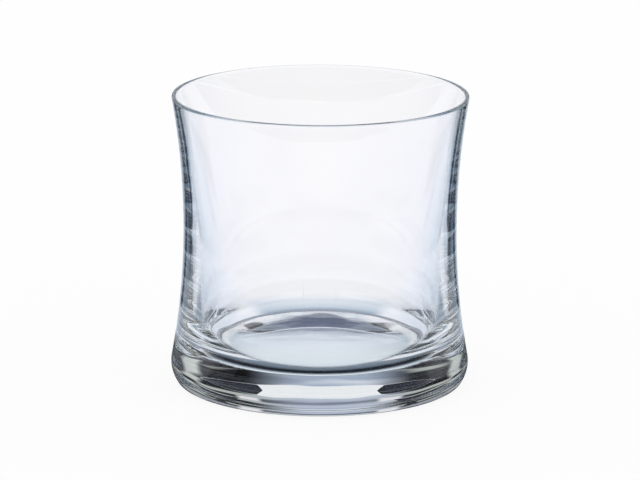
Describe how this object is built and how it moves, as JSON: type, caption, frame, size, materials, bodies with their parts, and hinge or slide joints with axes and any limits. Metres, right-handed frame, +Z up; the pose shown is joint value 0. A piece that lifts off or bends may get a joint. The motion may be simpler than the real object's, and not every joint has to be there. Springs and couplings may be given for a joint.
{
  "type": "tumbler",
  "caption": "Low waisted drinking tumbler in clear crystal, with a flared polished lip and a thick rounded base, for holding a drink.",
  "frame": {"origin": "middle of the plane that the glass stands on", "axes": "+Z up along the axis of revolution, from the base to the open mouth"},
  "size_m": [0.0948, 0.0948, 0.093],
  "materials": {
    "crystal": "fire polished, clear"
  },
  "bodies": {
    "root": {"base": "crystal", "wall": "crystal", "rim": "crystal"}
  },
  "joints": []
}
